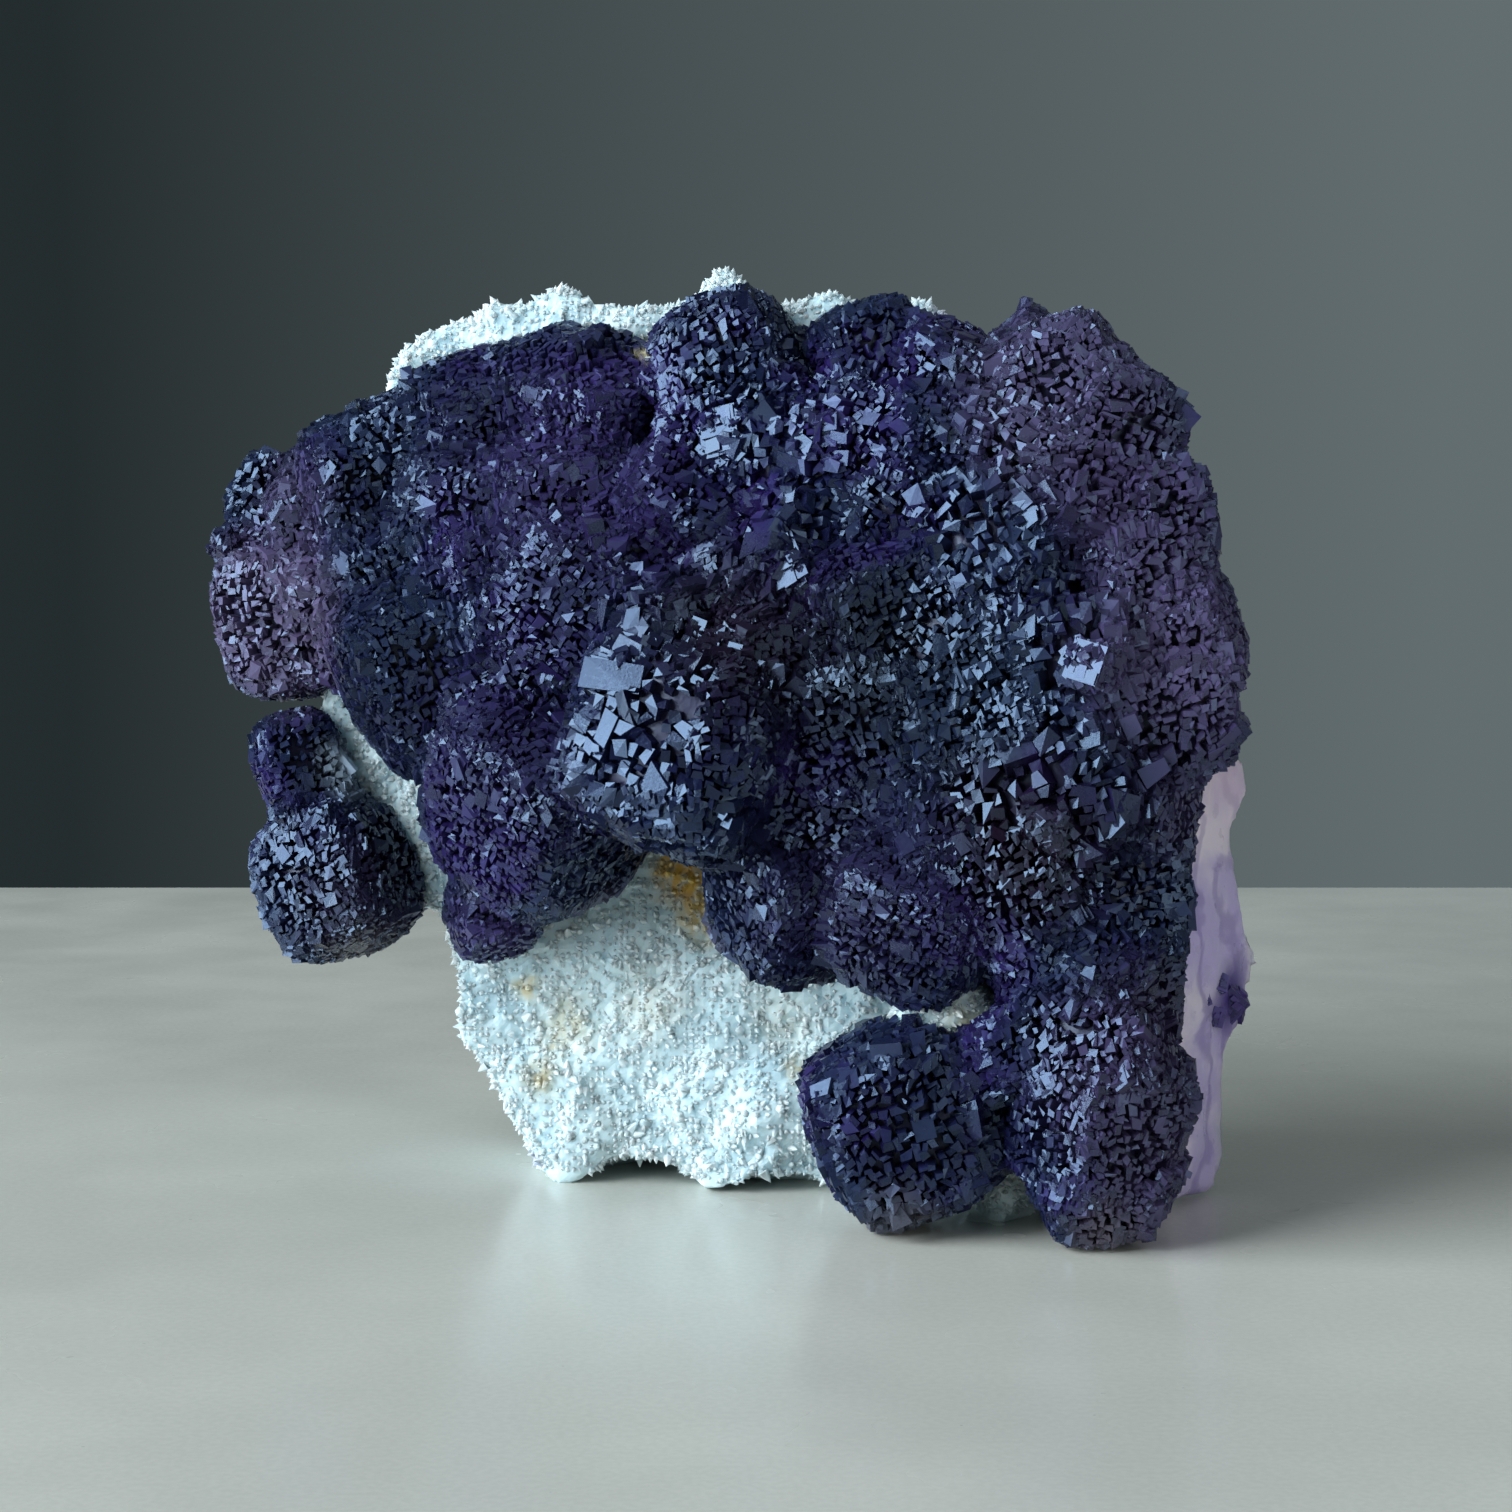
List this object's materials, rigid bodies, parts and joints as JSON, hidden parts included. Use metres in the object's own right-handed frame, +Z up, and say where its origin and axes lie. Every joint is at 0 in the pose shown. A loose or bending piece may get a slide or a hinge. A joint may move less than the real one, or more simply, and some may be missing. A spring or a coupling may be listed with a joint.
{
  "type": "fluorite specimen",
  "caption": "Violet fluorite nodules of small grown-together cubes on an upright plate of sugary white quartz that stands by itself.",
  "frame": {"origin": "on the table, under the middle of the specimen's bounding box", "axes": "+Z up; +Y to the back, away from the side with the crystals; +X to the right, along the specimen's width"},
  "size_m": [0.1341, 0.0723, 0.1109],
  "materials": {
    "white_quartz": "sugary white quartz with a faint blue cast, small sparkling grains and ochre iron stains",
    "violet_fluorite": "dark violet translucent fluorite with glossy mosaic faces, paling to lavender on the right flank"
  },
  "bodies": {
    "root": {"quartz_matrix": "white_quartz", "fluorite_crust": "violet_fluorite", "fluorite_cluster_lower_left": "violet_fluorite"}
  },
  "joints": []
}
